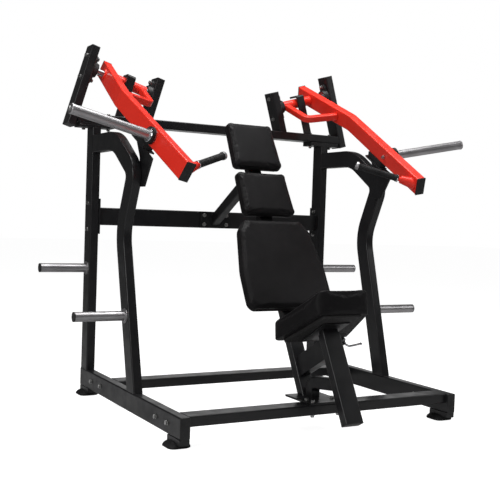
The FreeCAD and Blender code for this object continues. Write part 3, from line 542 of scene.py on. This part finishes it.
def seat_cushion():
    """The seat's pad: plumb front and rear faces, and a top that slopes down to the rear."""
    local = back_points("seat_pad")
    low, high = local[:, 2].min(), local[:, 2].max()
    height = high - low
    bottom = local[local[:, 2] < low + FLAT]
    top = local[local[:, 2] > high - FLAT]
    # where the front and the rear lie at the underside and at the top
    under = (bottom[:, 1].min(), bottom[:, 1].max())
    over = (top[:, 1].min() - SEAT_FRONT_LEAN, local[:, 1].max() - SEAT_REAR_LEAN)
    corners = np.array([(-SEAT_FRONT_HALF, 0.0), (SEAT_FRONT_HALF, 0.0),
                        (SEAT_REAR_HALF, SEAT_LENGTH), (-SEAT_REAR_HALF, SEAT_LENGTH)])
    radii = (SEAT_FRONT_RADIUS, SEAT_FRONT_RADIUS, SEAT_REAR_RADIUS, SEAT_REAR_RADIUS)
    loop = resampled(rounded_outline(corners, radii), SEAT_LOOP_POINTS)

    def warp(x, along, rise):
        share = min(max(along / SEAT_LENGTH, 0), 1)
        up = rise / height
        front = under[0] + (over[0] - under[0]) * up
        rear = under[1] + (over[1] - under[1]) * up
        y = front + (rear - front) * share
        z = low + rise - SEAT_REAR_DROP * share * up
        return BACK @ Vector((x, y, z))

    # (inset, height) from the board up the border to the top
    border = [(0.0035, 0.0), (0.0012, 0.004), (0.0006, height - 0.0135), (0.002, height - 0.007),
              (0.0055, height - 0.003), (0.011, height - 0.0014), (0.024, height - 0.0006)]
    points, faces = pad_shell(loop, border, warp, height + SEAT_CROWN)
    pad = add_mesh("seat_pad_cover", points, faces, "pad_vinyl", "seat")
    held_below = low + HELD_DEPTH
    inflate(pad, lambda p: (BACK.inverted() @ Vector(p)).z < held_below)
    seam_loop = inset_loop(loop, SEAT_SEAM_INSET)
    line = [warp(x, along, height - SEAT_SEAM_DEPTH)
            for x, along in np.vstack([seam_loop, seam_loop[:1]])]
    finish_pad(pad, "seat_pad", line, "seat")


for pad_name in ("lower_pad", "middle_pad", "head_pad"):
    back_pad(pad_name)
seat_cushion()


# ---------------------------------------------------------------- grips and their metal ends

def long_axis(name):
    """Middle, unit axis and half length of a long node."""
    points = node_points(name)
    axis = np.linalg.svd(points - points.mean(0), full_matrices=False)[2][0]
    reach = (points - points.mean(0)) @ axis
    centre = points.mean(0) + axis * (reach.max() + reach.min()) / 2
    return Vector(centre), Vector(axis), (reach.max() - reach.min()) / 2


ROUND_SIDES = 48
WASHER_SIDES = 32
RING_SIDES = 56
TIP_BOLT_RADIUS = 0.0095
TIP_BOLT_HEIGHT = 0.0055
RIB_PITCH = 0.0055
RIBS_START = 0.012
RIBS_MARGIN = 0.024
# (radius, height) profiles
SLEEVE_START = [(0.0135, 0.0), (0.0176, 0.0004), (0.0196, 0.002), (0.0196, 0.007), (0.018, 0.0088)]
RIB = [(0.0171, 0.0), (0.0182, 0.0009), (0.0182, 0.0034), (0.0171, 0.0043)]
COLLAR = [(0.0128, -0.0085), (0.0198, -0.008), (0.0208, -0.0068), (0.0208, -0.0014),
          (0.0198, -0.0003), (0.0128, 0.0)]
END_CAP = [(0.0128, 0.0), (0.0205, 0.0003), (0.0216, 0.0014), (0.0216, 0.0128), (0.0207, 0.0146),
           (0.0185, 0.0158), (0.008, 0.0164), (0.0075, 0.0156), (0.001, 0.0154)]
TIP_CAP = [(0.0252, -0.0045), (0.0262, -0.0038), (0.0262, 0.0012), (0.0254, 0.0026),
           (0.0235, 0.0036), (0.012, 0.0046), (0.001, 0.005)]
WASHER = [(0.0115, 0.0035), (0.0115, 0.0062), (0.0107, 0.0068), (0.001, 0.0068)]
BOLT_BASE = 0.0066
HORN_RING = [(0.0255, 0.0), (0.0345, 0.0002), (0.0362, 0.0014), (0.0362, 0.004), (0.0345, 0.0056),
             (0.0275, 0.0058), (0.0255, 0.005)]


def far_end(points, axis):
    """The middle of a node's flat end in an axis's direction."""
    reach = points @ np.array(axis)
    return Vector(points[reach > reach.max() - FLAT].mean(0))


def grip(side):
    """The ribbed rubber sleeve, its metal collar at the handle and its end cap."""
    body = side + "_arm"
    centre, axis, half = long_axis("grip_" + side)
    # the free end is the one nearer the middle of the machine
    free = axis if (axis.x < 0) == (centre.x > 0) else -axis
    start = turned(centre - free * half, free)
    length = 2 * half
    profile = list(SLEEVE_START)
    for k in range(int((length - RIBS_MARGIN) / RIB_PITCH)):
        at = RIBS_START + k * RIB_PITCH
        profile += [(radius, at + height) for radius, height in RIB]
    profile += [(radius, length - height) for radius, height in SLEEVE_START[::-1]]
    sleeve = add_mesh("grip_sleeve_" + side, *lathe(profile, start, ROUND_SIDES), "grip_rubber", body)
    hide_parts("grip_" + side)
    add_mesh("grip_collar_" + side, *lathe(COLLAR, start, ROUND_SIDES), "lever_chrome", body)
    end = turned(centre + free * half, free)
    add_mesh("grip_end_cap_" + side, *lathe(END_CAP, end, ROUND_SIDES), "satin_steel", body)


def horn_end(side):
    """The plate horn's domed tip cap with its bolt, and the plated ring against the stop ring."""
    body = side + "_arm"
    points = node_points("weight_horn_" + side)
    _, axis, _ = long_axis("weight_horn_" + side)
    outward = axis if (axis.x > 0) == (points[:, 0].mean() > 0) else -axis
    tip = far_end(points, outward)
    tip_place = turned(tip, outward)
    bolt_place = turned(tip + outward * BOLT_BASE, outward)
    bolt = joined([lathe(WASHER, tip_place, WASHER_SIDES),
                   hexagon(TIP_BOLT_RADIUS, TIP_BOLT_HEIGHT, bolt_place)])
    add_mesh("horn_tip_cap_" + side, *lathe(TIP_CAP, tip_place, ROUND_SIDES), "satin_steel", body)
    add_mesh("horn_tip_bolt_" + side, *bolt, "zinc_bolt", body)
    face = far_end(node_points("horn_stop_ring_" + side), outward)
    ring_place = turned(face, outward)
    add_mesh("horn_ring_" + side, *lathe(HORN_RING, ring_place, RING_SIDES), "lever_chrome",
             body)


for side in ("left", "right"):
    grip(side)
    horn_end(side)


# ---------------------------------------------------------------- rubber feet

CORNER_STEPS = 8


def rounded_square(size, radius, z, x, y):
    """A level square round (x, y) at height z, its corners rounded."""
    half = size / 2 - radius
    ring = []
    for quarter, (sx, sy) in enumerate(((1, 1), (-1, 1), (-1, -1), (1, -1))):
        for k in range(CORNER_STEPS + 1):
            turn = math.pi / 2 * (quarter + k / CORNER_STEPS)
            ring.append(Vector((x + sx * half + radius * math.cos(turn),
                                y + sy * half + radius * math.sin(turn), z)))
    return ring


def foot(x, y, size, height):
    """A low domed foot whose rim rises a little round the leg that stands in it."""
    # (side, corner radius, height) of each level
    steps = [(size - 0.008, 0.030, 0.0), (size, 0.034, 0.0025), (size, 0.036, 0.008),
             (size - 0.006, 0.036, 0.0145), (size - 0.018, 0.034, height),
             (size - 0.036, 0.028, height + 0.006), (size - 0.058, 0.022, height + 0.0095),
             (size - 0.068, 0.018, height + 0.0095)]
    return skin([rounded_square(edge, radius, z, x, y) for edge, radius, z in steps])


feet_points = node_points("rubber_feet")
feet_shapes = []
for sx in (-1, 1):
    for sy in (-1, 1):
        own = feet_points[(feet_points[:, 0] * sx > 0) & (feet_points[:, 1] * sy > 0)]
        middle = (own.min(0) + own.max(0)) / 2
        size = own.max(0) - own.min(0)
        feet_shapes.append(foot(middle[0], middle[1], size[0], size[2]))
feet = add_mesh("floor_feet", *joined(feet_shapes), "black_rubber", "frame")
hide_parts("rubber_feet")


# ---------------------------------------------------------------- floor, light and camera

FLOOR_HALF = 30.0
WHITE = (1, 1, 1, 1)
# how bright the floor and the backdrop are as light, and as the camera sees them
FLOOR_GLOW = (0.05, 0.95)
BACKDROP_GLOW = (0.07, 1.0)

# name, place, target, size and power in watts
SOFTBOXES = [
    ("top_softbox", (0, -0.2, 4.6), (0, 0.1, 0.6), 3.2, 165),
    ("left_softbox", (-4.2, -2.6, 2.8), (0, 0, 0.9), 2.4, 90),
    ("right_softbox", (4.0, -2.2, 3.0), (0.2, 0, 0.9), 1.8, 26),
    ("rear_softbox", (3.0, 5.2, 1.8), (0, 0, 0.6), 4.4, 26),
]

CAMERA_PLACE = (-2.41804, -4.09075, 1.03434)
CAMERA_LENS = 62.82
CAMERA_SENSOR = 36
YAW, PITCH, ROLL = (math.radians(a) for a in (29.29, -2.02, 1.95))


def studio_floor():
    """A wide pale floor that glows only to the camera, so that it lights the machine little."""
    corners = [(-FLOOR_HALF, -FLOOR_HALF, 0), (FLOOR_HALF, -FLOOR_HALF, 0),
               (FLOOR_HALF, FLOOR_HALF, 0), (-FLOOR_HALF, FLOOR_HALF, 0)]
    mesh = bpy.data.meshes.new("studio_floor")
    mesh.from_pydata(corners, [], [(0, 1, 2, 3)])
    floor = bpy.data.objects.new("studio_floor", mesh)
    SCENE.collection.objects.link(floor)
    paper = Finish("studio_paper", (0.5, 0.5, 0.5), 0.9, specular=0.0)
    paper.tint(paper.noise(1.5, 2), (0.48, 0.48, 0.485), 1.0)
    paper.shader.inputs["Emission Color"].default_value = WHITE
    seen = paper.node("ShaderNodeLightPath")
    glow = paper.spread(seen.outputs["Is Camera Ray"], *FLOOR_GLOW, 0, 1)
    paper.link(glow, paper.shader.inputs["Emission Strength"])
    mesh.materials.append(paper.material)


def studio_backdrop():
    """A white surround to the camera, and a dim one as light."""
    world = bpy.data.worlds.new("studio")
    SCENE.world = world
    world.use_nodes = True
    tree = world.node_tree
    background = tree.nodes["Background"]
    background.inputs["Color"].default_value = WHITE
    path = tree.nodes.new("ShaderNodeLightPath")
    level = tree.nodes.new("ShaderNodeMapRange")
    level.inputs["To Min"].default_value, level.inputs["To Max"].default_value = BACKDROP_GLOW
    tree.links.new(path.outputs["Is Camera Ray"], level.inputs["Value"])
    tree.links.new(level.outputs[0], background.inputs["Strength"])


def area_light(name, place, target, size, power):
    """A round softbox at a place, turned to a target and unseen by the camera."""
    data = bpy.data.lights.new(name, "AREA")
    data.shape = "DISK"
    data.size = size
    data.energy = power
    lamp = bpy.data.objects.new(name, data)
    SCENE.collection.objects.link(lamp)
    lamp.visible_camera = False
    lamp.location = place
    lamp.rotation_euler = (Vector(target) - Vector(place)).to_track_quat("-Z", "Y").to_euler()


def photo_camera():
    """The camera, from its yaw off the machine's +Y, its pitch and its roll."""
    ahead = Vector((math.sin(YAW) * math.cos(PITCH), math.cos(YAW) * math.cos(PITCH), math.sin(PITCH)))
    level_right = Vector((math.cos(YAW), -math.sin(YAW), 0))
    level_up = level_right.cross(ahead)
    right = level_right * math.cos(ROLL) + level_up * math.sin(ROLL)
    up = level_up * math.cos(ROLL) - level_right * math.sin(ROLL)
    data = bpy.data.cameras.new("camera")
    data.lens = CAMERA_LENS
    data.sensor_width = CAMERA_SENSOR
    camera = bpy.data.objects.new("camera", data)
    SCENE.collection.objects.link(camera)
    turn = Matrix((right, up, -ahead)).transposed().to_4x4()
    camera.matrix_world = Matrix.Translation(CAMERA_PLACE) @ turn
    SCENE.camera = camera


studio_floor()
studio_backdrop()
for softbox in SOFTBOXES:
    area_light(*softbox)
photo_camera()
